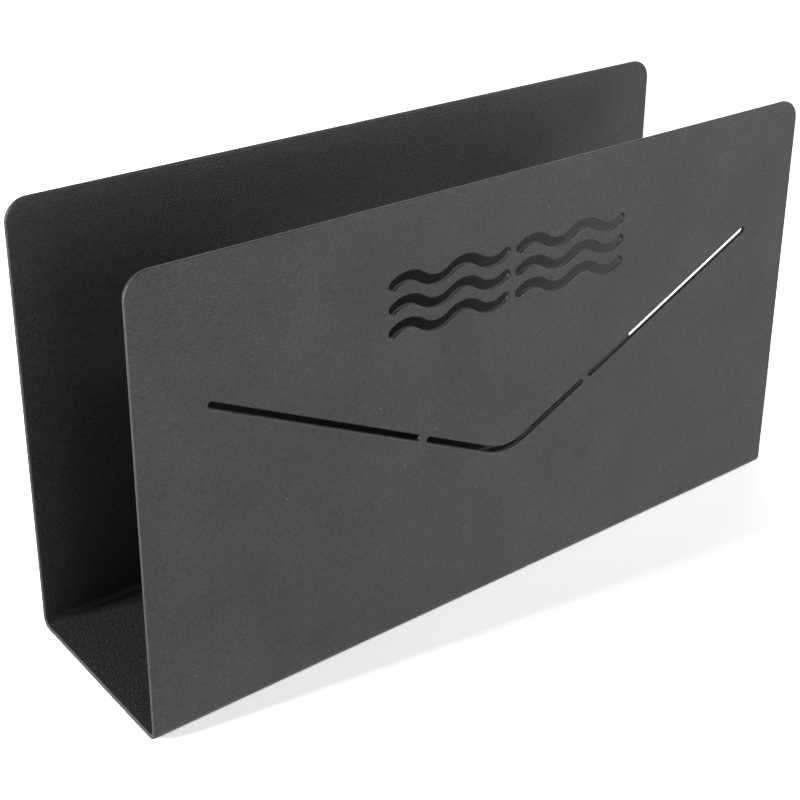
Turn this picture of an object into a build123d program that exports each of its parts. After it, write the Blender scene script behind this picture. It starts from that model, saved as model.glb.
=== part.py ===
"""Desk letter rack: one steel sheet, cut flat, folded to a U and powder coated, on four thin pads.

Millimetres. +X runs along the rack, +Y from the front plate, which has the cut-outs, to the back
plate, and +Z up. The origin is on the surface that the rack stands on, under its middle.
"""

import os
from math import atan2, cos, degrees, hypot

from build123d import *

# The folded sheet
rack_length = 250.0  # along X, cut edge to cut edge
rack_depth = 67.6  # outside of the front plate to outside of the back plate
plate_height = 136.8  # underside of the base to the top edge of both plates
sheet_thickness = 1.6  # 1.5 mm steel and its coat
bend_inside_radius = 2.0  # both folds
plate_corner_radius = 7.0  # the two upper corners of each plate
rim_radius = 0.5  # cut edges, rounded by deburring and by the coat

# The envelope flap, drawn on the front plate by three slots that meet at two narrow bridges
flap_slot_width = 1.9
flap_end_margin = 22.4  # plate end to the centre of a slot's outer end
flap_end_below_top = 41.1  # top edge to the centre of a slot's outer end
flap_fall = 48.5  # from there down to where the two straight lines would meet
flap_point_radius = 16.0  # centre line of the rounded point
bridge_from_middle = 32.5  # along X, to the middle of each bridge
bridge_width = 2.65  # metal left between two slot ends, along the line

# The wavy cancelling lines, cut out above the flap, each in two halves with a bridge between them
wave_rows = 3
wave_row_pitch = 7.0
wave_slot_width = 3.0
wave_swing = 1.7  # crest above the row's middle line
half_wave_length = 10.3
half_waves_per_slot = 4
wave_bridge_width = 2.4
waves_below_top = 30.5  # top edge to the middle row

# The pads under the base
pad_diameter = 12.0
pad_height = 0.5
pad_rim_radius = 0.15
pad_inset_x = 15.0  # plate end to the pad's centre
pad_inset_y = 12.0  # outside of a plate to the pad's centre

# Worked out from the sizes above
half_length = rack_length / 2
half_depth = rack_depth / 2
base_z = pad_height
top_z = base_z + plate_height
bend_outside_radius = bend_inside_radius + sheet_thickness

flap_end_x = half_length - flap_end_margin
flap_end_z = top_z - flap_end_below_top
flap_point_z = flap_end_z - flap_fall
flap_slope = atan2(flap_fall, flap_end_x)
bridge_reach_x = (bridge_width + flap_slot_width) / 2 * cos(flap_slope)  # to a slot's end centre
long_slot_start_x = bridge_from_middle + bridge_reach_x
point_slot_end_x = bridge_from_middle - bridge_reach_x

wave_slot_run = half_wave_length * half_waves_per_slot
wave_slot_gap = wave_bridge_width + wave_slot_width

smallest_length = 1e-4


def flap_z(x):
    """Height of the flap's straight line at x."""
    return flap_point_z + abs(x) * flap_fall / flap_end_x


def is_rim(edge):
    """True where the skin of the sheet turns into a cut wall, false for every smooth seam."""
    if edge.geom_type != GeomType.LINE:
        return True
    crosses_wall = abs(edge.length - sheet_thickness) < smallest_length
    runs_along_x = abs(abs((edge @ 1 - edge @ 0).X) - edge.length) < smallest_length
    marks_a_fold = runs_along_x and edge.center().Z < top_z - smallest_length
    return not crosses_wall and not marks_a_fold


os.makedirs("parts", exist_ok=True)

# ---- the folded sheet ----
with BuildPart() as folded_sheet:
    with BuildSketch(Plane.YZ.offset(-half_length)):
        with BuildLine():
            FilletPolyline(
                (-half_depth, top_z),
                (-half_depth, base_z),
                (half_depth, base_z),
                (half_depth, top_z),
                radius=bend_outside_radius,
            )
            offset(amount=sheet_thickness, side=Side.LEFT)
        make_face()
    extrude(amount=rack_length)
    fillet(folded_sheet.edges().filter_by(Axis.Y).group_by(Axis.Z)[-1], plate_corner_radius)

    # what is cut through the front plate, drawn on its outside
    with BuildSketch(Plane.XZ.offset(half_depth)):
        # the flap's two long slots
        for side in (-1, 1):
            middle_x = side * (flap_end_x + long_slot_start_x) / 2
            run = hypot(flap_end_x - long_slot_start_x, flap_end_z - flap_z(long_slot_start_x))
            with Locations((middle_x, flap_z(middle_x))):
                SlotCenterToCenter(run, flap_slot_width, rotation=side * degrees(flap_slope))

        # the slot round the flap's point
        with BuildLine():
            FilletPolyline(
                (-point_slot_end_x, flap_z(point_slot_end_x)),
                (0, flap_point_z),
                (point_slot_end_x, flap_z(point_slot_end_x)),
                radius=flap_point_radius,
            )
            offset(amount=flap_slot_width / 2)
        make_face()

        # the wavy lines
        for row in range(wave_rows):
            row_z = top_z - waves_below_top + (row - (wave_rows - 1) / 2) * wave_row_pitch
            for slot_start_x in (-wave_slot_gap / 2 - wave_slot_run, wave_slot_gap / 2):
                with BuildLine():
                    for half_wave in range(half_waves_per_slot):
                        start_x = slot_start_x + half_wave * half_wave_length
                        crest_z = row_z + wave_swing * (-1) ** half_wave
                        ThreePointArc(
                            (start_x, row_z),
                            (start_x + half_wave_length / 2, crest_z),
                            (start_x + half_wave_length, row_z),
                        )
                    offset(amount=wave_slot_width / 2)
                make_face()
    extrude(amount=-sheet_thickness, mode=Mode.SUBTRACT)

    fillet(folded_sheet.edges().filter_by(is_rim), rim_radius)

folded_sheet.part.label = "folded_sheet"
export_step(folded_sheet.part, "parts/folded_sheet.step")

# ---- the four pads, stuck under the base ----
for end_name, end in (("left", -1), ("right", 1)):
    for side_name, side in (("front", -1), ("back", 1)):
        pad_x = end * (half_length - pad_inset_x)
        pad_y = side * (half_depth - pad_inset_y)
        with BuildPart() as pad:
            with BuildSketch(Plane(origin=(pad_x, pad_y, 0))):
                Circle(pad_diameter / 2)
            extrude(amount=pad_height)
            fillet(pad.edges().group_by(Axis.Z)[0], pad_rim_radius)
        pad.part.label = f"pad_{side_name}_{end_name}"
        export_step(pad.part, f"parts/{pad.part.label}.step")
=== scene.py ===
"""Desk letter rack, dressed in Blender around its CAD frame.

One steel sheet is drawn flat, as a laser would cut it, and a Geometry Nodes tree gives it its
thickness and its rounded rims and folds it to a U. A second tree sets the four pads under it. The
stage is a pale floor in soft studio light, with a camera at the photograph's place.

Lengths are metres in the frame of the CAD model, unless a name ends in _mm or _px.
"""

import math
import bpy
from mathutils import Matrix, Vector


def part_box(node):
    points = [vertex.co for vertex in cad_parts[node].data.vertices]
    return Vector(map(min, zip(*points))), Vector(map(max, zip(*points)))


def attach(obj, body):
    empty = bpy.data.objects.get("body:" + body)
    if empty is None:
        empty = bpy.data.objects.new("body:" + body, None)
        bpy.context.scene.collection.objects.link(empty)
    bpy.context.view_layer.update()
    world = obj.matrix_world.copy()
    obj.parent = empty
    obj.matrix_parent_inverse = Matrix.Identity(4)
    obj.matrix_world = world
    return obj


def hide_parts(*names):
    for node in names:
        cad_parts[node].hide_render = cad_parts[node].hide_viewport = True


bl_info = {
    "name": "Letter Rack",
    "version": (1, 0, 0),
    "blender": (4, 5, 0),
    "location": "View3D > Sidebar > Letter Rack",
    "description": "Builds a folded steel letter rack with its pads, and a studio stage for it",
    "category": "Add Mesh",
}

import bpy
from bpy.props import FloatProperty, FloatVectorProperty, IntProperty, PointerProperty
from mathutils import Matrix, Vector

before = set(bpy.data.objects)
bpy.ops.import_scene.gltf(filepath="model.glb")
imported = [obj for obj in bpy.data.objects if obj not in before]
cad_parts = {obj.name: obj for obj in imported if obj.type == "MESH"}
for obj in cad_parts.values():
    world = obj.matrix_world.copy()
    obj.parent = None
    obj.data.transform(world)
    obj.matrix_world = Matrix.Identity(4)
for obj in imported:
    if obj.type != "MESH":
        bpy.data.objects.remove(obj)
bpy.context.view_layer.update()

SHEET_LOW, SHEET_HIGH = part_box("folded_sheet")
PAD_LOW, PAD_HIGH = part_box("pad_front_left")
PAD_NODES = ("pad_front_left", "pad_front_right", "pad_back_left", "pad_back_right")
BODY = "root"
MM = 0.001

QUARTER_TURN = math.pi / 2
ARC_STEP = math.radians(6.0)  # the largest turn from one point of a curved cut to the next
WELD_DISTANCE = 0.002 * MM  # points closer than this become one

# The camera: the photograph's place, focal length and optical axis, worked out from the rack's edges
PHOTO_PX = 800
FOCAL_PX = 1486
AXIS_PX = (365, 270)  # where the lens points, from the top left
SENSOR_WIDTH_MM = 36.0
CAMERA_PLACE = Vector((-0.2735, -0.3251, 0.2711))
CAMERA_AZIMUTH = -37.04  # degrees that it is turned left of +Y
CAMERA_ELEVATION = 22.34  # degrees that it looks down
CAMERA_ROLL = -0.19  # degrees
CLIP_NEAR = 0.01
CLIP_FAR = 20.0

# The floor, which the camera sees fade to plain white between two distances from the rack
FLOOR_REACH = 3.0  # from its middle to its sides
FLOOR_Z = -0.05 * MM  # just under the pads, so that the two faces don't coincide
WHITE_FROM = 0.35
WHITE_AT = 0.9

# The studio's walls turn to ceiling between these two heights on a sphere of radius 1
CEILING_FROM = 0.45
CEILING_AT = 0.8

# The softboxes: each one's place, its width and height, and the stage setting for its power
LAMP_AIM = Vector((0.0, 0.0, 0.06))
SOFTBOXES = {
    "key_softbox": ((1.0, -1.0, 0.7), (0.8, 0.8), "key_power"),
    "fill_softbox": ((0.1, -1.5, 0.16), (1.2, 0.3), "fill_power"),
    "side_softbox": ((-1.2, 0.26, 0.4), (0.3, 0.3), "side_power"),
    "back_softbox": ((0.95, 1.1, 0.75), (1.6, 1.2), "back_power"),
}


# ------------------------------------------------------------------------------------------------
# Colours, nodes and node trees
# ------------------------------------------------------------------------------------------------


def linear_from_hex(code):
    """An sRGB hex colour, such as "3A3B3C", as linear RGB."""
    channels = [int(code[i : i + 2], 16) / 255 for i in (0, 2, 4)]
    return [c / 12.92 if c <= 0.04045 else ((c + 0.055) / 1.055) ** 2.4 for c in channels]


def add_node(tree, kind, inputs=None, **properties):
    """Add a node, set its properties, and give each input a value or the socket that feeds it."""
    node = tree.nodes.new(kind)
    for name, value in properties.items():
        setattr(node, name, value)
    for key, value in (inputs or {}).items():
        if isinstance(value, bpy.types.NodeSocket):
            tree.links.new(value, node.inputs[key])
        else:
            node.inputs[key].default_value = value
    return node


def new_geometry_tree(name, inputs):
    """A Geometry Nodes tree with the named inputs, each a socket kind and a default or None."""
    tree = bpy.data.node_groups.new(name, "GeometryNodeTree")
    tree.interface.new_socket("Geometry", in_out="INPUT", socket_type="NodeSocketGeometry")
    tree.interface.new_socket("Geometry", in_out="OUTPUT", socket_type="NodeSocketGeometry")
    for label, (kind, default) in inputs.items():
        socket = tree.interface.new_socket(label, in_out="INPUT", socket_type="NodeSocket" + kind)
        if default is not None:
            socket.default_value = default
    return tree


def run_tree(source, tree, values, name):
    """Run a tree on an object with the named values, and return its result as a plain mesh object."""
    modifier = source.modifiers.new(tree.name, "NODES")
    modifier.node_group = tree
    for item in tree.interface.items_tree:
        if item.in_out == "INPUT" and item.name in values:
            modifier[item.identifier] = values[item.name]
    bpy.context.view_layer.update()
    evaluated = source.evaluated_get(bpy.context.evaluated_depsgraph_get())
    mesh = bpy.data.meshes.new_from_object(evaluated)
    source.modifiers.remove(modifier)
    bpy.data.objects.remove(source)
    if not mesh.polygons:
        raise RuntimeError(f"{tree.name} made no faces for {name}")
    mesh.name = name
    piece = bpy.data.objects.new(name, mesh)
    bpy.context.scene.collection.objects.link(piece)
    return piece


def settle_normals(piece):
    """Let the large flat faces set the normals where they meet the rims and folds."""
    weighted = piece.modifiers.new("Weighted normals", "WEIGHTED_NORMAL")
    weighted.mode = "FACE_AREA"
    weighted.weight = 100
    bpy.context.view_layer.update()
    evaluated = piece.evaluated_get(bpy.context.evaluated_depsgraph_get())
    rough_mesh = piece.data
    mesh = bpy.data.meshes.new_from_object(evaluated)
    piece.modifiers.remove(weighted)
    piece.data = mesh
    bpy.data.meshes.remove(rough_mesh)
    mesh.name = piece.name


# ------------------------------------------------------------------------------------------------
# Settings
# ------------------------------------------------------------------------------------------------


def length_setting(name, description, default):
    """A property that holds a length."""
    return FloatProperty(
        name=name, description=description, default=default, min=0.0, unit="LENGTH", precision=5
    )


def colour_setting(name, description, code):
    """A property that holds a colour, with its default as an sRGB hex code."""
    colour = linear_from_hex(code)
    return FloatVectorProperty(
        name=name, description=description, default=colour, size=3, min=0.0, max=1.0, subtype="COLOR"
    )


def watt_setting(name, description, default):
    """A property that holds a lamp's power."""
    return FloatProperty(name=name, description=description, default=default, min=0.0, unit="POWER")


class RackSheetSettings(bpy.types.PropertyGroup):
    """The folded sheet: its section, its corners and its rims."""

    thickness: length_setting("Thickness", "Steel and its coat", 1.6 * MM)
    bend_inside_radius: length_setting("Bend inside radius", "Inside of both folds", 2.0 * MM)
    corner_radius: length_setting("Corner radius", "Upper corners of both plates", 7.0 * MM)
    rim_radius: length_setting("Rim radius", "Rounding of every cut edge", 0.5 * MM)
    rim_steps: IntProperty(name="Rim steps", description="Faces round each rim", default=4, min=1)
    fold_steps: IntProperty(name="Fold steps", description="Faces round each fold", default=14, min=2)


class RackFlapSettings(bpy.types.PropertyGroup):
    """The envelope flap, drawn by three slots in the front plate."""

    slot_width: length_setting("Slot width", "Width of all three slots", 1.9 * MM)
    end_margin: length_setting("End margin", "Plate end to the centre of a slot's outer end", 22.4 * MM)
    end_below_top: length_setting("End below top", "Top edge to the centre of a slot's outer end", 41.1 * MM)
    fall: length_setting("Fall", "From the outer ends to where the two lines would meet", 48.5 * MM)
    point_radius: length_setting("Point radius", "Centre line of the rounded point", 16.0 * MM)
    bridge_from_middle: length_setting(
        "Bridge from middle", "Along X, to the middle of each bridge", 32.5 * MM
    )
    bridge_width: length_setting("Bridge width", "Metal left between two slot ends", 2.65 * MM)


class RackWaveSettings(bpy.types.PropertyGroup):
    """The wavy cancelling lines above the flap."""

    rows: IntProperty(name="Rows", description="Wavy lines, one above the other", default=3, min=1)
    row_pitch: length_setting("Row pitch", "From one line to the next", 7.0 * MM)
    slot_width: length_setting("Slot width", "Width of each line", 3.0 * MM)
    swing: length_setting("Swing", "Crest above the line's middle", 1.7 * MM)
    half_wave_length: length_setting("Half wave", "From one crossing of the middle to the next", 10.3 * MM)
    half_waves_per_slot: IntProperty(
        name="Half waves", description="In each half of a line", default=4, min=1
    )
    bridge_width: length_setting("Bridge width", "Metal left in the middle of each line", 2.4 * MM)
    below_top: length_setting("Below top", "Top edge to the middle line", 30.5 * MM)


class RackPadSettings(bpy.types.PropertyGroup):
    """The anti-slip pads under the base."""

    rim_radius: length_setting("Rim radius", "Rounding of the die-cut edge", 0.15 * MM)
    sides: IntProperty(name="Sides", description="Faces round each pad", default=64, min=8)


class RackFinishSettings(bpy.types.PropertyGroup):
    """Colours of the coat and the pads."""

    coat_colour: colour_setting("Coat", "Powder coat on the sheet", "2A2A2A")
    pad_colour: colour_setting("Pads", "Foam rubber of the pads", "1E1E1F")


class RackStageSettings(bpy.types.PropertyGroup):
    """The floor and the light."""

    floor_colour: colour_setting("Floor", "White table", "F4F4F4")
    floor_gain: FloatProperty(
        name="Floor exposure",
        description="How many times brighter the camera sees the floor",
        default=3.2,
        min=0.0,
    )
    dome_strength: FloatProperty(
        name="Dome", description="Even light from all round", default=0.06, min=0.0
    )
    ceiling_strength: FloatProperty(
        name="Ceiling", description="Share of the dome's strength overhead", default=0.3, min=0.0
    )
    key_power: watt_setting("Key", "Softbox in front, towards the right", 12.0)
    fill_power: watt_setting("Fill", "Softbox in front, low", 8.5)
    side_power: watt_setting("Side", "Softbox at the left, low and a little behind", 26.0)
    back_power: watt_setting("Back", "Softbox behind, towards the right", 4.0)


# ------------------------------------------------------------------------------------------------
# Materials
# ------------------------------------------------------------------------------------------------


def new_material(name):
    """An empty node material with its output, and its object coordinates in metres."""
    material = bpy.data.materials.new(name)
    material.use_nodes = True
    tree = material.node_tree
    tree.nodes.clear()
    output = add_node(tree, "ShaderNodeOutputMaterial")
    place = add_node(tree, "ShaderNodeTexCoord").outputs["Object"]
    return material, tree, output, place


def per_mm(size_mm):
    """Scale of a noise whose cells are size_mm across, on coordinates in metres."""
    return 1.0 / (size_mm * MM)


def powder_coated_steel(finish):
    """Polyester powder coat on steel, sprayed and baked with a fine sandy texture.

    The eye sees a dark matt grey-black that turns silky at a low angle, with a grain of about half
    a millimetre in which the tips of the powder catch the light, a light speck here and there, and
    faint clouds where the coat is a little thicker.
    """
    material, tree, output, place = new_material("powder_coated_steel_fine_texture")

    # the grains of the baked powder: low domes, each with a tone of its own, drawn about twice as
    # coarse as the finest real ones, which would not show
    grain_mm = 0.45
    grain_depth_mm = 0.16
    darkest_grain, lightest_grain = 0.5, 1.5
    grains = add_node(tree, "ShaderNodeTexVoronoi", {"Vector": place, "Scale": per_mm(grain_mm)}).outputs
    own_tone = add_node(tree, "ShaderNodeSeparateColor", {"Color": grains["Color"]}).outputs["Red"]
    grain_tone = add_node(
        tree, "ShaderNodeMapRange", {"Value": own_tone, "To Min": darkest_grain, "To Max": lightest_grain}
    ).outputs["Result"]

    # specks of dust and of coarse powder, about half a millimetre across and a few centimetres apart
    speck_cell_mm = 9.0
    speck_core_mm, speck_edge_mm = 0.18, 0.27  # the radii where a speck starts to fade and is gone
    speck_gain = 6.0
    from_speck = add_node(
        tree, "ShaderNodeTexVoronoi", {"Vector": place, "Scale": per_mm(speck_cell_mm)}
    ).outputs["Distance"]
    specks = add_node(
        tree,
        "ShaderNodeMapRange",
        {
            "Value": from_speck,
            "From Min": speck_core_mm / speck_cell_mm,
            "From Max": speck_edge_mm / speck_cell_mm,
            "To Min": 1.0,
            "To Max": 0.0,
        },
    ).outputs["Result"]

    # clouds of a slightly thicker coat, which is a little lighter and smoother
    cloud_mm = 25.0
    thin_coat_tone, thick_coat_tone = 0.9, 1.1
    thin_coat_roughness, thick_coat_roughness = 0.56, 0.46
    clouds = add_node(
        tree,
        "ShaderNodeTexNoise",
        {"Vector": place, "Scale": per_mm(cloud_mm), "Detail": 2.0, "Roughness": 0.5},
    ).outputs["Fac"]
    thin_to_thick = {"Value": clouds, "From Min": 0.3, "From Max": 0.7}
    cloud_tone = add_node(
        tree, "ShaderNodeMapRange", {**thin_to_thick, "To Min": thin_coat_tone, "To Max": thick_coat_tone}
    ).outputs["Result"]
    rough = add_node(
        tree,
        "ShaderNodeMapRange",
        {**thin_to_thick, "To Min": thin_coat_roughness, "To Max": thick_coat_roughness},
    ).outputs["Result"]

    tone = add_node(
        tree, "ShaderNodeMath", {0: specks, 1: speck_gain, 2: grain_tone}, operation="MULTIPLY_ADD"
    ).outputs[0]
    tone = add_node(tree, "ShaderNodeMath", {0: tone, 1: cloud_tone}, operation="MULTIPLY").outputs[0]
    colour = add_node(
        tree, "ShaderNodeVectorMath", {0: finish.coat_colour[:], 3: tone}, operation="SCALE"
    ).outputs["Vector"]
    # a grain is highest in its middle, where the distance is least
    bump = add_node(
        tree,
        "ShaderNodeBump",
        {"Height": grains["Distance"], "Strength": 0.8, "Distance": grain_depth_mm * MM},
        invert=True,
    )
    surface = add_node(
        tree,
        "ShaderNodeBsdfPrincipled",
        {"Base Color": colour, "Roughness": rough, "IOR": 1.5, "Normal": bump.outputs["Normal"]},
    )
    tree.links.new(surface.outputs["BSDF"], output.inputs["Surface"])
    return material


def foam_rubber(finish):
    """Closed-cell foam rubber, die-cut: dead matt and black, with the fine pores of its skin."""
    material, tree, output, place = new_material("closed_cell_foam_rubber")

    # the pores, drawn two or three times as coarse as real ones, which would not show
    pore_mm = 0.4
    pore_depth_mm = 0.05
    pore_edge = 0.6  # where a pore ends, as a share of pore_mm from its middle
    tone_in_pore, tone_of_skin = 0.7, 1.1
    from_pore = add_node(
        tree, "ShaderNodeTexVoronoi", {"Vector": place, "Scale": per_mm(pore_mm)}
    ).outputs["Distance"]
    tone = add_node(
        tree,
        "ShaderNodeMapRange",
        {"Value": from_pore, "From Max": pore_edge, "To Min": tone_in_pore, "To Max": tone_of_skin},
    ).outputs["Result"]
    colour = add_node(
        tree, "ShaderNodeVectorMath", {0: finish.pad_colour[:], 3: tone}, operation="SCALE"
    ).outputs["Vector"]
    bump = add_node(
        tree,
        "ShaderNodeBump",
        {"Height": from_pore, "Strength": 0.4, "Distance": pore_depth_mm * MM},
    )
    surface = add_node(
        tree,
        "ShaderNodeBsdfPrincipled",
        {"Base Color": colour, "Roughness": 0.85, "IOR": 1.5, "Normal": bump.outputs["Normal"]},
    )
    tree.links.new(surface.outputs["BSDF"], output.inputs["Surface"])
    return material


def white_laminate(stage):
    """A table top of matt white laminate, lit to just past white, as a catalogue photographer has it.

    The camera sees white with the rack's close shadow on it, and past arm's length nothing but white.
    Gloss and glass see plain white, and everything else is lit by the laminate's own colour.
    """
    material, tree, output, place = new_material("matt_white_laminate")
    path = add_node(tree, "ShaderNodeLightPath").outputs
    seen = path["Is Camera Ray"]
    exposure = add_node(
        tree, "ShaderNodeMapRange", {"Value": seen, "To Min": 1.0, "To Max": stage.floor_gain}
    ).outputs["Result"]
    colour = add_node(
        tree, "ShaderNodeVectorMath", {0: stage.floor_colour[:], 3: exposure}, operation="SCALE"
    ).outputs["Vector"]
    lit = add_node(tree, "ShaderNodeBsdfDiffuse", {"Color": colour}).outputs["BSDF"]
    white = add_node(tree, "ShaderNodeEmission", {"Strength": 1.0}).outputs["Emission"]

    # plain white: for the camera far from the rack, and for gloss and glass everywhere
    away = add_node(tree, "ShaderNodeVectorMath", {0: place}, operation="LENGTH").outputs["Value"]
    far = add_node(
        tree,
        "ShaderNodeMapRange",
        {"Value": away, "From Min": WHITE_FROM, "From Max": WHITE_AT},
        interpolation_type="SMOOTHSTEP",
    ).outputs["Result"]
    plain = add_node(tree, "ShaderNodeMath", {0: far, 1: seen}, operation="MULTIPLY").outputs[0]
    for ray in ("Is Glossy Ray", "Is Transmission Ray"):
        plain = add_node(tree, "ShaderNodeMath", {0: plain, 1: path[ray]}, use_clamp=True).outputs[0]
    mix = add_node(tree, "ShaderNodeMixShader", {0: plain, 1: lit, 2: white})
    tree.links.new(mix.outputs["Shader"], output.inputs["Surface"])
    return material


# ------------------------------------------------------------------------------------------------
# Node groups that make the sheet and the pads
# ------------------------------------------------------------------------------------------------


def rim_profile_nodes(tree, thickness, radius, steps):
    """Nodes for the section of a cut edge: a U of four points whose two corners are rounded.

    X is 0 at the cut and negative in the metal, and Y is the depth below the outer skin.
    """
    # the two end points stand back from the cut, and the last two points lie on the inner skin
    points = 4
    middle = (points - 1) / 2
    line = add_node(tree, "GeometryNodeMeshLine", {"Count": points})
    index = add_node(tree, "GeometryNodeInputIndex").outputs["Index"]
    from_middle = add_node(tree, "ShaderNodeMath", {0: index, 1: middle}, operation="SUBTRACT").outputs[0]
    away = add_node(tree, "ShaderNodeMath", {0: from_middle}, operation="ABSOLUTE").outputs[0]
    is_end = add_node(tree, "ShaderNodeMath", {0: away, 1: 1.0}, operation="GREATER_THAN").outputs[0]
    is_inner = add_node(
        tree, "ShaderNodeMath", {0: from_middle, 1: 0.0}, operation="GREATER_THAN"
    ).outputs[0]
    inset = add_node(tree, "ShaderNodeMath", {0: is_end, 1: radius}, operation="MULTIPLY").outputs[0]
    inset = add_node(tree, "ShaderNodeMath", {0: inset, 1: -1.0}, operation="MULTIPLY").outputs[0]
    depth = add_node(tree, "ShaderNodeMath", {0: is_inner, 1: thickness}, operation="MULTIPLY").outputs[0]
    corner = add_node(tree, "ShaderNodeCombineXYZ", {"X": inset, "Y": depth}).outputs["Vector"]
    placed = add_node(
        tree, "GeometryNodeSetPosition", {"Geometry": line.outputs["Mesh"], "Position": corner}
    ).outputs["Geometry"]
    curve = add_node(tree, "GeometryNodeMeshToCurve", {"Mesh": placed})
    rounded = add_node(
        tree,
        "GeometryNodeFilletCurve",
        {"Curve": curve.outputs["Curve"], "Radius": radius, "Count": steps, "Limit Radius": True},
        mode="POLY",
    )
    return rounded.outputs["Curve"]


def rim_and_skin_line_nodes(tree, cuts, thickness, radius, steps):
    """Nodes that sweep the rim section along the cuts, and that draw the skin's edge beside them.

    The metal lies to the left of every cut.
    """
    upright = add_node(tree, "GeometryNodeSetCurveNormal", {"Curve": cuts}, mode="Z_UP").outputs["Curve"]
    profile = rim_profile_nodes(tree, thickness, radius, steps)
    rims = add_node(tree, "GeometryNodeCurveToMesh", {"Curve": upright, "Profile Curve": profile})
    normal = add_node(tree, "GeometryNodeInputNormal").outputs["Normal"]
    back = add_node(tree, "ShaderNodeMath", {0: radius, 1: -1.0}, operation="MULTIPLY").outputs[0]
    shift = add_node(tree, "ShaderNodeVectorMath", {0: normal, 3: back}, operation="SCALE")
    skin_line = add_node(
        tree, "GeometryNodeSetPosition", {"Geometry": upright, "Offset": shift.outputs["Vector"]}
    )
    return rims.outputs["Mesh"], skin_line.outputs["Geometry"]


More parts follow.
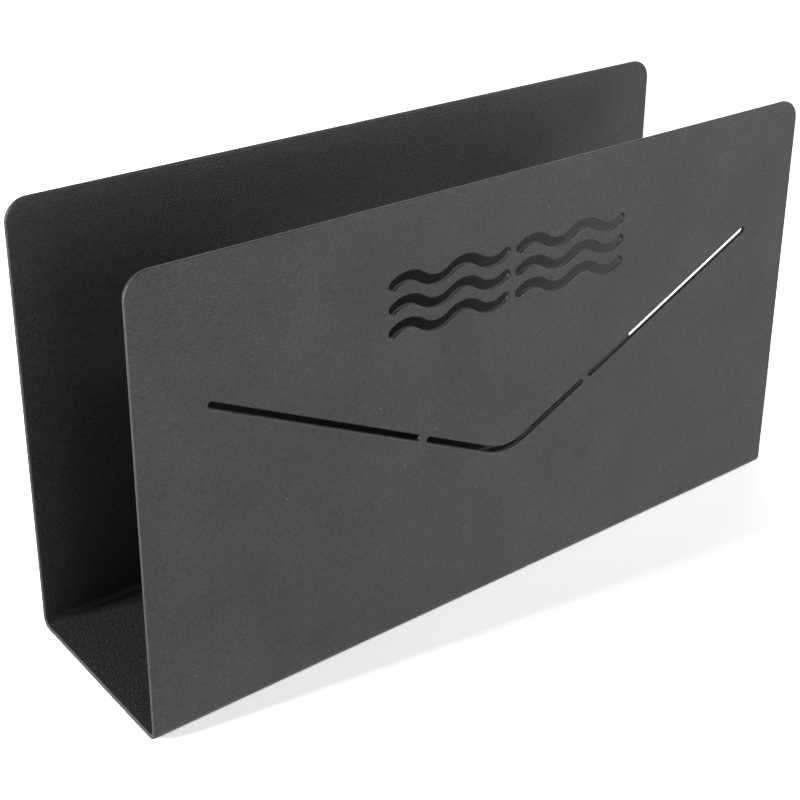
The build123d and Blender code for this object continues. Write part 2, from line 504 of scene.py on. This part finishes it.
def folded_sheet_tree():
    """Cut lines on a flat sheet, seen from outside, to a folded sheet with rounded rims.

    Y runs along the section: 0 in the middle of the base, up the front plate on the positive side
    and up the back plate on the negative side. Z is 0 on the outer skin and negative in the metal.
    """
    tree = new_geometry_tree(
        "Cut and fold a sheet",
        {
            "Length": ("Float", 0.25),
            "Depth": ("Float", 0.07),
            "Base Height": ("Float", 0.0),
            "Thickness": ("Float", 1.6 * MM),
            "Bend Inside Radius": ("Float", 2.0 * MM),
            "Rim Radius": ("Float", 0.5 * MM),
            "Rim Steps": ("Int", 4),
            "Fold Steps": ("Int", 14),
            "Material": ("Material", None),
        },
    )
    entry = add_node(tree, "NodeGroupInput").outputs
    thickness = entry["Thickness"]
    rim = entry["Rim Radius"]
    steps = entry["Fold Steps"]

    # the section's lengths
    outside = add_node(tree, "ShaderNodeMath", {0: entry["Bend Inside Radius"], 1: thickness}).outputs[0]
    half_depth = add_node(
        tree, "ShaderNodeMath", {0: entry["Depth"], 1: 2.0}, operation="DIVIDE"
    ).outputs[0]
    half_flat = add_node(
        tree, "ShaderNodeMath", {0: half_depth, 1: outside}, operation="SUBTRACT"
    ).outputs[0]
    fold_run = add_node(
        tree, "ShaderNodeMath", {0: outside, 1: QUARTER_TURN}, operation="MULTIPLY"
    ).outputs[0]
    fold_end = add_node(tree, "ShaderNodeMath", {0: half_flat, 1: fold_run}).outputs[0]
    place = add_node(tree, "GeometryNodeInputPosition").outputs["Position"]
    across = add_node(tree, "ShaderNodeSeparateXYZ", {"Vector": place}).outputs
    run = add_node(tree, "ShaderNodeMath", {0: across["Y"]}, operation="ABSOLUTE").outputs[0]
    side = add_node(tree, "ShaderNodeMath", {0: across["Y"]}, operation="SIGN").outputs[0]

    rims, skin_line = rim_and_skin_line_nodes(tree, entry["Geometry"], thickness, rim, entry["Rim Steps"])

    # each plate's skin: the skin line without its points on the base, the folds and the other plate
    short_of_fold_end = add_node(
        tree, "ShaderNodeMath", {0: fold_end, 1: WELD_DISTANCE}, operation="SUBTRACT"
    ).outputs[0]
    plates = []
    for sign in (1.0, -1.0):
        up_this_plate = add_node(
            tree, "ShaderNodeMath", {0: across["Y"], 1: sign}, operation="MULTIPLY"
        ).outputs[0]
        elsewhere = add_node(
            tree, "FunctionNodeCompare", {0: up_this_plate, 1: short_of_fold_end}, operation="LESS_THAN"
        ).outputs[0]
        plate_line = add_node(
            tree, "GeometryNodeDeleteGeometry", {"Geometry": skin_line, "Selection": elsewhere}
        ).outputs["Geometry"]
        plate = add_node(tree, "GeometryNodeFillCurve", {"Curve": plate_line}, mode="TRIANGLES")
        plates.append(plate.outputs["Mesh"])

    # the base's skin: a ladder of rows a unit apart, moved to the base's edges and the folds' steps
    twice_steps = add_node(tree, "ShaderNodeMath", {0: steps, 1: 2.0}, operation="MULTIPLY").outputs[0]
    ladder_height = add_node(tree, "ShaderNodeMath", {0: twice_steps, 1: 1.0}).outputs[0]
    rows = add_node(tree, "ShaderNodeMath", {0: twice_steps, 1: 2.0}).outputs[0]
    skin_length = add_node(
        tree, "ShaderNodeMath", {0: rim, 1: -2.0, 2: entry["Length"]}, operation="MULTIPLY_ADD"
    ).outputs[0]
    ladder = add_node(
        tree,
        "GeometryNodeMeshGrid",
        {"Size X": skin_length, "Size Y": ladder_height, "Vertices X": 2, "Vertices Y": rows},
    ).outputs["Mesh"]
    step_run = add_node(tree, "ShaderNodeMath", {0: fold_run, 1: steps}, operation="DIVIDE").outputs[0]
    step_number = add_node(tree, "ShaderNodeMath", {0: run, 1: 0.5}, operation="SUBTRACT").outputs[0]
    row_run = add_node(
        tree, "ShaderNodeMath", {0: step_number, 1: step_run, 2: half_flat}, operation="MULTIPLY_ADD"
    ).outputs[0]
    row_y = add_node(tree, "ShaderNodeMath", {0: row_run, 1: side}, operation="MULTIPLY").outputs[0]
    row_place = add_node(tree, "ShaderNodeCombineXYZ", {"X": across["X"], "Y": row_y}).outputs["Vector"]
    base = add_node(
        tree, "GeometryNodeSetPosition", {"Geometry": ladder, "Position": row_place}
    ).outputs["Geometry"]

    # both skins and the rims make the flat sheet
    skin = add_node(tree, "GeometryNodeJoinGeometry")
    for part in (*plates, base):
        tree.links.new(part, skin.inputs["Geometry"])
    inward = add_node(tree, "ShaderNodeMath", {0: thickness, 1: -1.0}, operation="MULTIPLY").outputs[0]
    inward = add_node(tree, "ShaderNodeCombineXYZ", {"Z": inward}).outputs["Vector"]
    inner_skin = add_node(
        tree, "GeometryNodeTransform", {"Geometry": skin.outputs["Geometry"], "Translation": inward}
    ).outputs["Geometry"]
    inner_skin = add_node(tree, "GeometryNodeFlipFaces", {"Mesh": inner_skin}).outputs["Mesh"]
    loose = add_node(tree, "GeometryNodeJoinGeometry")
    for part in (rims, skin.outputs["Geometry"], inner_skin):
        tree.links.new(part, loose.inputs["Geometry"])
    flat = add_node(
        tree,
        "GeometryNodeMergeByDistance",
        {"Geometry": loose.outputs["Geometry"], "Distance": WELD_DISTANCE},
    ).outputs["Geometry"]

    # the fold: past the flat base a point turns about the fold's centre, then runs straight up
    past_base = add_node(tree, "ShaderNodeMath", {0: run, 1: half_flat}, operation="SUBTRACT").outputs[0]
    turned = add_node(
        tree, "ShaderNodeMath", {0: past_base, 1: fold_run}, operation="DIVIDE", use_clamp=True
    ).outputs[0]
    turned = add_node(tree, "ShaderNodeMath", {0: turned, 1: QUARTER_TURN}, operation="MULTIPLY").outputs[0]
    radius = add_node(tree, "ShaderNodeMath", {0: outside, 1: across["Z"]}).outputs[0]
    sine = add_node(tree, "ShaderNodeMath", {0: turned}, operation="SINE").outputs[0]
    cosine = add_node(tree, "ShaderNodeMath", {0: turned}, operation="COSINE").outputs[0]
    flat_part = add_node(tree, "ShaderNodeMath", {0: run, 1: half_flat}, operation="MINIMUM").outputs[0]
    reach = add_node(
        tree, "ShaderNodeMath", {0: radius, 1: sine, 2: flat_part}, operation="MULTIPLY_ADD"
    ).outputs[0]
    reach_y = add_node(tree, "ShaderNodeMath", {0: reach, 1: side}, operation="MULTIPLY").outputs[0]
    folded_y = add_node(tree, "ShaderNodeMath", {0: reach_y, 1: -1.0}, operation="MULTIPLY").outputs[0]
    straight = add_node(
        tree, "ShaderNodeMath", {0: past_base, 1: fold_run}, operation="SUBTRACT"
    ).outputs[0]
    straight = add_node(tree, "ShaderNodeMath", {0: straight, 1: 0.0}, operation="MAXIMUM").outputs[0]
    drop = add_node(tree, "ShaderNodeMath", {0: radius, 1: cosine}, operation="MULTIPLY").outputs[0]
    centre_z = add_node(tree, "ShaderNodeMath", {0: entry["Base Height"], 1: outside}).outputs[0]
    rise = add_node(tree, "ShaderNodeMath", {0: centre_z, 1: drop}, operation="SUBTRACT").outputs[0]
    folded_z = add_node(tree, "ShaderNodeMath", {0: rise, 1: straight}).outputs[0]
    folded_place = add_node(
        tree, "ShaderNodeCombineXYZ", {"X": across["X"], "Y": folded_y, "Z": folded_z}
    ).outputs["Vector"]
    folded = add_node(tree, "GeometryNodeSetPosition", {"Geometry": flat, "Position": folded_place})

    smooth = add_node(tree, "GeometryNodeSetShadeSmooth", {"Geometry": folded.outputs["Geometry"]})
    real = add_node(tree, "GeometryNodeRealizeInstances", {"Geometry": smooth.outputs["Geometry"]})
    coated = add_node(
        tree,
        "GeometryNodeSetMaterial",
        {"Geometry": real.outputs["Geometry"], "Material": entry["Material"]},
    )
    add_node(tree, "NodeGroupOutput", {"Geometry": coated.outputs["Geometry"]})
    return tree


def pads_tree():
    """Four die-cut discs with rounded rims, one on each point of a grid."""
    tree = new_geometry_tree(
        "Set pads",
        {
            "Diameter": ("Float", 12.0 * MM),
            "Height": ("Float", 0.5 * MM),
            "Spacing X": ("Float", 0.22),
            "Spacing Y": ("Float", 0.04),
            "Rim Radius": ("Float", 0.15 * MM),
            "Rim Steps": ("Int", 3),
            "Sides": ("Int", 64),
            "Material": ("Material", None),
        },
    )
    entry = add_node(tree, "NodeGroupInput").outputs
    radius = add_node(tree, "ShaderNodeMath", {0: entry["Diameter"], 1: 2.0}, operation="DIVIDE").outputs[0]
    circle = add_node(
        tree, "GeometryNodeCurvePrimitiveCircle", {"Resolution": entry["Sides"], "Radius": radius}
    ).outputs["Curve"]
    rims, skin_line = rim_and_skin_line_nodes(
        tree, circle, entry["Height"], entry["Rim Radius"], entry["Rim Steps"]
    )
    top = add_node(tree, "GeometryNodeFillCurve", {"Curve": skin_line}, mode="NGONS").outputs["Mesh"]
    down = add_node(tree, "ShaderNodeMath", {0: entry["Height"], 1: -1.0}, operation="MULTIPLY").outputs[0]
    down = add_node(tree, "ShaderNodeCombineXYZ", {"Z": down}).outputs["Vector"]
    bottom = add_node(
        tree, "GeometryNodeTransform", {"Geometry": top, "Translation": down}
    ).outputs["Geometry"]
    bottom = add_node(tree, "GeometryNodeFlipFaces", {"Mesh": bottom}).outputs["Mesh"]
    loose = add_node(tree, "GeometryNodeJoinGeometry")
    for part in (rims, top, bottom):
        tree.links.new(part, loose.inputs["Geometry"])
    disc = add_node(
        tree,
        "GeometryNodeMergeByDistance",
        {"Geometry": loose.outputs["Geometry"], "Distance": WELD_DISTANCE},
    ).outputs["Geometry"]

    corners = add_node(
        tree,
        "GeometryNodeMeshGrid",
        {"Size X": entry["Spacing X"], "Size Y": entry["Spacing Y"], "Vertices X": 2, "Vertices Y": 2},
    ).outputs["Mesh"]
    lift = add_node(tree, "ShaderNodeCombineXYZ", {"Z": entry["Height"]}).outputs["Vector"]
    lifted = add_node(tree, "GeometryNodeTransform", {"Geometry": corners, "Translation": lift})
    pads = add_node(
        tree, "GeometryNodeInstanceOnPoints", {"Points": lifted.outputs["Geometry"], "Instance": disc}
    )
    real = add_node(tree, "GeometryNodeRealizeInstances", {"Geometry": pads.outputs["Instances"]})
    smooth = add_node(
        tree, "GeometryNodeSetShadeSmooth", {"Geometry": real.outputs["Geometry"]}
    ).outputs["Geometry"]
    rubber = add_node(
        tree, "GeometryNodeSetMaterial", {"Geometry": smooth, "Material": entry["Material"]}
    )
    add_node(tree, "NodeGroupOutput", {"Geometry": rubber.outputs["Geometry"]})
    return tree


# ------------------------------------------------------------------------------------------------
# The flat pattern: every cut line of the sheet, drawn as seen from outside
# ------------------------------------------------------------------------------------------------


def walk(start, heading, moves):
    """Places and headings along a path of moves, each a length and its turn, positive to the left."""
    place = Vector(start)
    stations = [(place, heading)]
    for length, turn in moves:
        steps = max(1, math.ceil(abs(turn) / ARC_STEP))
        chord = length / steps
        if turn:
            chord *= math.sin(turn / steps / 2) / (turn / steps / 2)
        for _ in range(steps):
            chord_heading = heading + turn / steps / 2
            place = place + chord * Vector((math.cos(chord_heading), math.sin(chord_heading)))
            heading += turn / steps
            stations.append((place, heading))
    return stations


def slot_line(stations, width):
    """The cut line of a slot with round ends along a path, with the metal on its left."""
    half_width = width / 2
    cap_steps = math.ceil(math.pi / ARC_STEP)
    line = []
    for path, turned in ((stations, 0.0), (stations[::-1], math.pi)):
        for place, heading in path:
            across = heading + turned + QUARTER_TURN
            line.append(place + half_width * Vector((math.cos(across), math.sin(across))))
        place, heading = path[-1]
        for step in range(1, cap_steps):
            across = heading + turned + QUARTER_TURN - step * math.pi / cap_steps
            line.append(place + half_width * Vector((math.cos(across), math.sin(across))))
    return line


def corner_arc(centre, radius, start_angle):
    """A quarter circle, turning left from start_angle."""
    steps = math.ceil(QUARTER_TURN / ARC_STEP)
    angles = [start_angle + step * QUARTER_TURN / steps for step in range(steps + 1)]
    return [Vector(centre) + radius * Vector((math.cos(a), math.sin(a))) for a in angles]


def sheet_outline(half_length, half_run, corner_radius, fold_rows):
    """The edge of the flat sheet, turning left, with a point at every row of the folds."""
    u = half_length - corner_radius
    v = half_run - corner_radius
    line = [Vector((half_length, row)) for row in fold_rows]
    line += corner_arc((u, v), corner_radius, 0.0)
    line += corner_arc((-u, v), corner_radius, QUARTER_TURN)
    line += [Vector((-half_length, row)) for row in reversed(fold_rows)]
    line += corner_arc((-u, -v), corner_radius, math.pi)
    line += corner_arc((u, -v), corner_radius, -QUARTER_TURN)
    return line


def flap_lines(flap, half_length, top):
    """The flap's two long slots and the slot round its point, under a top edge at height top."""
    end_x = half_length - flap.end_margin
    end_z = top - flap.end_below_top
    slope = math.atan2(flap.fall, end_x)
    bridge_reach_x = (flap.bridge_width + flap.slot_width) / 2 * math.cos(slope)
    long_start_x = flap.bridge_from_middle + bridge_reach_x
    long_run = (end_x - long_start_x) / math.cos(slope)
    long_start_z = end_z - (end_x - long_start_x) * math.tan(slope)
    left = walk((-end_x, end_z), -slope, [(long_run, 0.0)])
    right = walk((long_start_x, long_start_z), slope, [(long_run, 0.0)])

    point_end_x = flap.bridge_from_middle - bridge_reach_x
    point_end_z = end_z - (end_x - point_end_x) * math.tan(slope)
    straight = point_end_x / math.cos(slope) - flap.point_radius * math.tan(slope)
    bend = flap.point_radius * 2 * slope
    moves = [(straight, 0.0), (bend, 2 * slope), (straight, 0.0)]
    point = walk((-point_end_x, point_end_z), -slope, moves)
    return [slot_line(path, flap.slot_width) for path in (left, right, point)]


def wave_lines(wave, top):
    """The wavy lines, each in two halves, made of equal arcs above and below the row's middle."""
    steepness = 2 * math.atan(2 * wave.swing / wave.half_wave_length)
    arc_radius = wave.half_wave_length / 2 / math.sin(steepness)
    arc = arc_radius * 2 * steepness
    half_run = wave.half_wave_length * wave.half_waves_per_slot
    half_gap = (wave.bridge_width + wave.slot_width) / 2
    lines = []
    for row in range(wave.rows):
        row_z = top - wave.below_top + (row - (wave.rows - 1) / 2) * wave.row_pitch
        for start_x in (-half_gap - half_run, half_gap):
            moves = [(arc, -2 * steepness * (-1) ** i) for i in range(wave.half_waves_per_slot)]
            lines.append(slot_line(walk((start_x, row_z), steepness, moves), wave.slot_width))
    return lines


def draw_lines(name, lines):
    """A curve object with one closed line for each list of points."""
    drawing = bpy.data.curves.new(name, "CURVE")
    drawing.dimensions = "3D"
    for line in lines:
        spline = drawing.splines.new("POLY")
        spline.points.add(len(line) - 1)
        spline.use_cyclic_u = True
        for point, place in zip(spline.points, line):
            point.co = (place.x, place.y, 0.0, 1.0)
    piece = bpy.data.objects.new(name, drawing)
    bpy.context.scene.collection.objects.link(piece)
    return piece


# ------------------------------------------------------------------------------------------------
# The stage
# ------------------------------------------------------------------------------------------------


def add_floor(stage):
    """A wide table top under the rack."""
    mesh = bpy.data.meshes.new("stage_floor")
    corners = [(x * FLOOR_REACH, y * FLOOR_REACH, FLOOR_Z) for x, y in ((-1, -1), (1, -1), (1, 1), (-1, 1))]
    mesh.from_pydata(corners, [], [(0, 1, 2, 3)])
    mesh.materials.append(white_laminate(stage))
    floor = bpy.data.objects.new("stage_floor", mesh)
    bpy.context.scene.collection.objects.link(floor)


def add_world(stage):
    """Even light from all round, under a darker ceiling, in a studio that the camera sees as white.

    Gloss and glass see the white walls too, and the ceiling at its own strength.
    """
    world = bpy.data.worlds.new("studio_dome")
    world.use_nodes = True
    world.cycles.sampling_method = "NONE"
    tree = world.node_tree
    tree.nodes.clear()
    output = add_node(tree, "ShaderNodeOutputWorld")
    path = add_node(tree, "ShaderNodeLightPath").outputs
    direction = add_node(tree, "ShaderNodeTexCoord").outputs["Generated"]
    height = add_node(tree, "ShaderNodeSeparateXYZ", {"Vector": direction}).outputs["Z"]
    walls = add_node(
        tree,
        "ShaderNodeMapRange",
        {
            "Value": height,
            "From Min": CEILING_FROM,
            "From Max": CEILING_AT,
            "To Min": 1.0,
            "To Max": stage.ceiling_strength,
        },
        interpolation_type="SMOOTHSTEP",
    ).outputs["Result"]
    gloss = add_node(
        tree, "ShaderNodeMath", {0: path["Is Glossy Ray"], 1: path["Is Transmission Ray"]}, use_clamp=True
    ).outputs[0]
    lit = add_node(
        tree, "ShaderNodeMapRange", {"Value": gloss, "To Min": stage.dome_strength, "To Max": 1.0}
    ).outputs["Result"]
    lit = add_node(tree, "ShaderNodeMath", {0: lit, 1: walls}, operation="MULTIPLY").outputs[0]
    strength = add_node(
        tree, "ShaderNodeMath", {0: lit, 1: path["Is Camera Ray"]}, operation="MAXIMUM"
    ).outputs[0]
    light = add_node(tree, "ShaderNodeBackground", {"Strength": strength}).outputs["Background"]
    tree.links.new(light, output.inputs["Surface"])
    bpy.context.scene.world = world


def add_softbox(name, place, size, power):
    """A rectangular softbox that faces the rack and that the camera doesn't see."""
    lamp = bpy.data.lights.new(name, "AREA")
    lamp.shape = "RECTANGLE"
    lamp.size, lamp.size_y = size
    lamp.energy = power
    holder = bpy.data.objects.new(name, lamp)
    facing = (LAMP_AIM - Vector(place)).to_track_quat("-Z", "Y").to_matrix().to_4x4()
    holder.matrix_world = Matrix.Translation(place) @ facing
    holder.visible_camera = False
    bpy.context.scene.collection.objects.link(holder)


def add_camera():
    """The camera at the photograph's place, with its lens and its small shift."""
    camera = bpy.data.cameras.new("photo_camera")
    camera.sensor_width = SENSOR_WIDTH_MM
    camera.lens = FOCAL_PX * SENSOR_WIDTH_MM / PHOTO_PX
    camera.shift_x = (PHOTO_PX / 2 - AXIS_PX[0]) / PHOTO_PX
    camera.shift_y = (AXIS_PX[1] - PHOTO_PX / 2) / PHOTO_PX
    camera.clip_start = CLIP_NEAR
    camera.clip_end = CLIP_FAR
    holder = bpy.data.objects.new("photo_camera", camera)
    turn = Matrix.Rotation(math.radians(CAMERA_AZIMUTH), 4, "Z")
    tilt = Matrix.Rotation(math.radians(90.0 - CAMERA_ELEVATION), 4, "X")
    roll = Matrix.Rotation(math.radians(CAMERA_ROLL), 4, "Z")
    holder.matrix_world = Matrix.Translation(CAMERA_PLACE) @ turn @ tilt @ roll
    bpy.context.scene.collection.objects.link(holder)
    bpy.context.scene.camera = holder


# ------------------------------------------------------------------------------------------------
# Operators
# ------------------------------------------------------------------------------------------------


class RACK_OT_folded_sheet(bpy.types.Operator):
    """Draw the sheet's cut lines flat, then cut, round and fold it"""

    bl_idname = "rack.folded_sheet"
    bl_label = "Folded sheet"

    def execute(self, context):
        sheet = context.scene.rack_sheet
        size = SHEET_HIGH - SHEET_LOW
        half_length = size.x / 2
        outside = sheet.bend_inside_radius + sheet.thickness
        half_flat = size.y / 2 - outside
        fold_run = outside * QUARTER_TURN
        half_run = half_flat + fold_run + size.z - outside
        rows = [half_flat + fold_run * step / sheet.fold_steps for step in range(sheet.fold_steps + 1)]
        rows = [-row for row in reversed(rows)] + rows

        lines = [sheet_outline(half_length, half_run, sheet.corner_radius, rows)]
        lines += flap_lines(context.scene.rack_flap, half_length, half_run)
        lines += wave_lines(context.scene.rack_wave, half_run)
        drawing = draw_lines("flat_pattern", lines)
        piece = run_tree(
            drawing,
            folded_sheet_tree(),
            {
                "Length": size.x,
                "Depth": size.y,
                "Base Height": SHEET_LOW.z,
                "Thickness": sheet.thickness,
                "Bend Inside Radius": sheet.bend_inside_radius,
                "Rim Radius": sheet.rim_radius,
                "Rim Steps": sheet.rim_steps,
                "Fold Steps": sheet.fold_steps,
                "Material": powder_coated_steel(context.scene.rack_finish),
            },
            "rack_sheet",
        )
        settle_normals(piece)
        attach(piece, BODY)
        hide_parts("folded_sheet")
        return {"FINISHED"}


class RACK_OT_pads(bpy.types.Operator):
    """Set the four anti-slip pads under the base"""

    bl_idname = "rack.pads"
    bl_label = "Pads"

    def execute(self, context):
        pads = context.scene.rack_pads
        far_low, far_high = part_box("pad_back_right")
        spacing = (far_low + far_high - PAD_LOW - PAD_HIGH) / 2
        holder = bpy.data.objects.new("pad_holder", bpy.data.meshes.new("pad_holder"))
        context.scene.collection.objects.link(holder)
        piece = run_tree(
            holder,
            pads_tree(),
            {
                "Diameter": PAD_HIGH.x - PAD_LOW.x,
                "Height": PAD_HIGH.z - PAD_LOW.z,
                "Spacing X": spacing.x,
                "Spacing Y": spacing.y,
                "Rim Radius": pads.rim_radius,
                "Sides": pads.sides,
                "Material": foam_rubber(context.scene.rack_finish),
            },
            "rack_pads",
        )
        settle_normals(piece)
        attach(piece, BODY)
        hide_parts(*PAD_NODES)
        return {"FINISHED"}


class RACK_OT_stage(bpy.types.Operator):
    """Lay the floor, set the light and the camera"""

    bl_idname = "rack.stage"
    bl_label = "Stage"

    def execute(self, context):
        stage = context.scene.rack_stage
        add_floor(stage)
        add_world(stage)
        for name, (place, size, power) in SOFTBOXES.items():
            add_softbox(name, place, size, getattr(stage, power))
        add_camera()
        context.scene.view_settings.view_transform = "Standard"
        return {"FINISHED"}


# ------------------------------------------------------------------------------------------------
# Sidebar, registration and the run
# ------------------------------------------------------------------------------------------------

SETTINGS = {
    "rack_sheet": RackSheetSettings,
    "rack_flap": RackFlapSettings,
    "rack_wave": RackWaveSettings,
    "rack_pads": RackPadSettings,
    "rack_finish": RackFinishSettings,
    "rack_stage": RackStageSettings,
}
OPERATORS = (RACK_OT_folded_sheet, RACK_OT_pads, RACK_OT_stage)


class RACK_PT_sidebar(bpy.types.Panel):
    """Sizes, colours and the button of each piece"""

    bl_idname = "RACK_PT_sidebar"
    bl_label = "Letter Rack"
    bl_space_type = "VIEW_3D"
    bl_region_type = "UI"
    bl_category = "Letter Rack"

    def draw(self, context):
        for name, group in SETTINGS.items():
            box = self.layout.box()
            box.label(text=group.__doc__.split(":")[0].rstrip("."))
            for setting in group.__annotations__:
                box.prop(getattr(context.scene, name), setting)
        for operator in OPERATORS:
            self.layout.operator(operator.bl_idname)


CLASSES = (*SETTINGS.values(), *OPERATORS, RACK_PT_sidebar)


def register():
    for item in CLASSES:
        bpy.utils.register_class(item)
    for name, group in SETTINGS.items():
        setattr(bpy.types.Scene, name, PointerProperty(type=group))


def unregister():
    for name in SETTINGS:
        delattr(bpy.types.Scene, name)
    for item in reversed(CLASSES):
        bpy.utils.unregister_class(item)


def main():
    register()
    bpy.ops.rack.folded_sheet()
    bpy.ops.rack.pads()
    bpy.ops.rack.stage()


if __name__ == "__main__":
    main()
